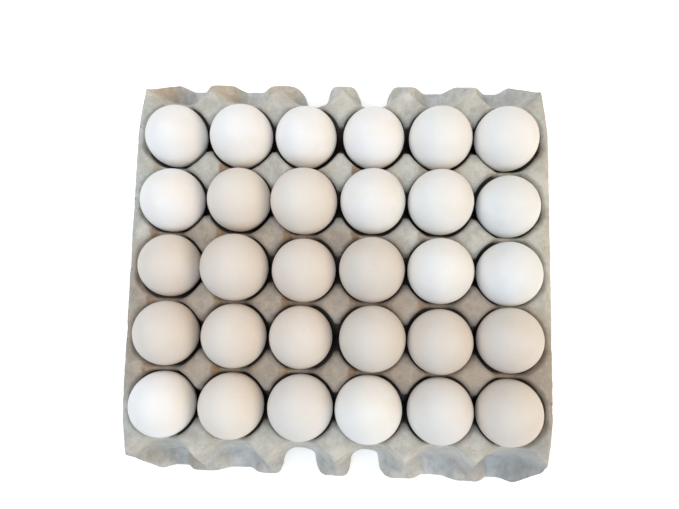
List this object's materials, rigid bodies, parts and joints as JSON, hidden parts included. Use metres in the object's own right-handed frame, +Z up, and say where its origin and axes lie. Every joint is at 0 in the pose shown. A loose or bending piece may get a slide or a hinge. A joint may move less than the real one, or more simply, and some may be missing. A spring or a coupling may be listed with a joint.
{
  "type": "egg tray with eggs",
  "caption": "Open moulded-pulp egg tray with rows of pockets, diamond-topped posts and finger notches, holding a full load of upright white eggs.",
  "frame": {"origin": "middle of the tray's footprint, on the plane that its feet stand on", "axes": "+Z up; +X along the rows of six pockets; +Y from the front row to the back row, across the two notched edges"},
  "size_m": [0.293, 0.2894, 0.0773],
  "materials": {
    "pulp": "matte moulded paper pulp, warm grey, with fine fibres and specks",
    "eggshell": "matte eggshell with fine pores, white to cream"
  },
  "bodies": {
    "root": {"pulp_tray": "pulp", "egg_1_1": "eggshell", "egg_1_2": "eggshell", "egg_1_3": "eggshell", "egg_1_4": "eggshell", "egg_1_5": "eggshell", "egg_1_6": "eggshell", "egg_2_1": "eggshell", "egg_2_2": "eggshell", "egg_2_3": "eggshell", "egg_2_4": "eggshell", "egg_2_5": "eggshell", "egg_2_6": "eggshell", "egg_3_1": "eggshell", "egg_3_2": "eggshell", "egg_3_3": "eggshell", "egg_3_4": "eggshell", "egg_3_5": "eggshell", "egg_3_6": "eggshell", "egg_4_1": "eggshell", "egg_4_2": "eggshell", "egg_4_3": "eggshell", "egg_4_4": "eggshell", "egg_4_5": "eggshell", "egg_4_6": "eggshell", "egg_5_1": "eggshell", "egg_5_2": "eggshell", "egg_5_3": "eggshell", "egg_5_4": "eggshell", "egg_5_5": "eggshell", "egg_5_6": "eggshell"}
  },
  "joints": []
}
